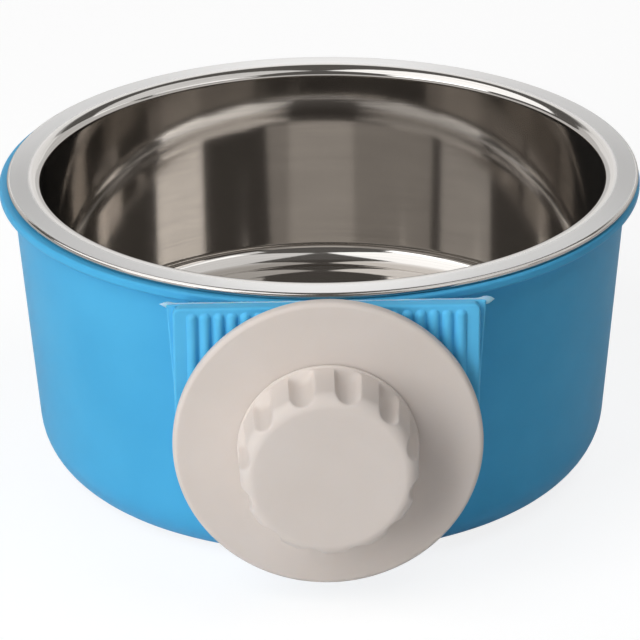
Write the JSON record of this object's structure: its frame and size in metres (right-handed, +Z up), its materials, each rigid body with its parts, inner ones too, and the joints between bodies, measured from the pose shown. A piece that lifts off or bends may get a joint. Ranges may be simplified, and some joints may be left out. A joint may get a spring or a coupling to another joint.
{
  "type": "clamp-on cage bowl",
  "caption": "Round feeding and water bowl with a lift-out steel insert; a ribbed plate and a screw-clamped disc on its front hang it on cage wires.",
  "frame": {"origin": "centre of the flat foot, on the bowl's axis", "axes": "+Z up along the bowl's axis; the clamp faces -Y; +X to the right seen from the clamp side"},
  "size_m": [0.14, 0.1622, 0.0688],
  "materials": {
    "outer_bowl": "satin moulded polypropylene, light blue",
    "steel_bowl": "spun stainless steel, polished rim",
    "mount_plate": "satin moulded polypropylene, light blue",
    "clamp_bolt": "satin off-white",
    "clamp_disc": "satin off-white",
    "clamp_knob": "satin off-white"
  },
  "bodies": {
    "bowl": {"outer_bowl": "outer_bowl", "mount_plate": "mount_plate", "clamp_bolt": "clamp_bolt"},
    "insert": {"steel_bowl": "steel_bowl"},
    "disc": {"clamp_disc": "clamp_disc"},
    "knob": {"clamp_knob": "clamp_knob"}
  },
  "joints": [
    {"name": "insert_lift", "type": "slide", "parent": "bowl", "child": "insert", "axis": [0, 0, 1], "range_m": [0, 0.06]},
    {"name": "disc_slide", "type": "slide", "parent": "bowl", "child": "disc", "axis": [0, -1, 0], "range_m": [0, 0.009]},
    {"name": "knob_turn", "type": "hinge", "parent": "disc", "child": "knob", "pos_m": [0, -0.0777, 0.0368], "axis": [0, -1, 0], "range_deg": [0, 1080]}
  ],
  "couplings": [
    {"joint": "disc_slide", "follows": "knob_turn", "m_per_rad": 0.00047746}
  ]
}
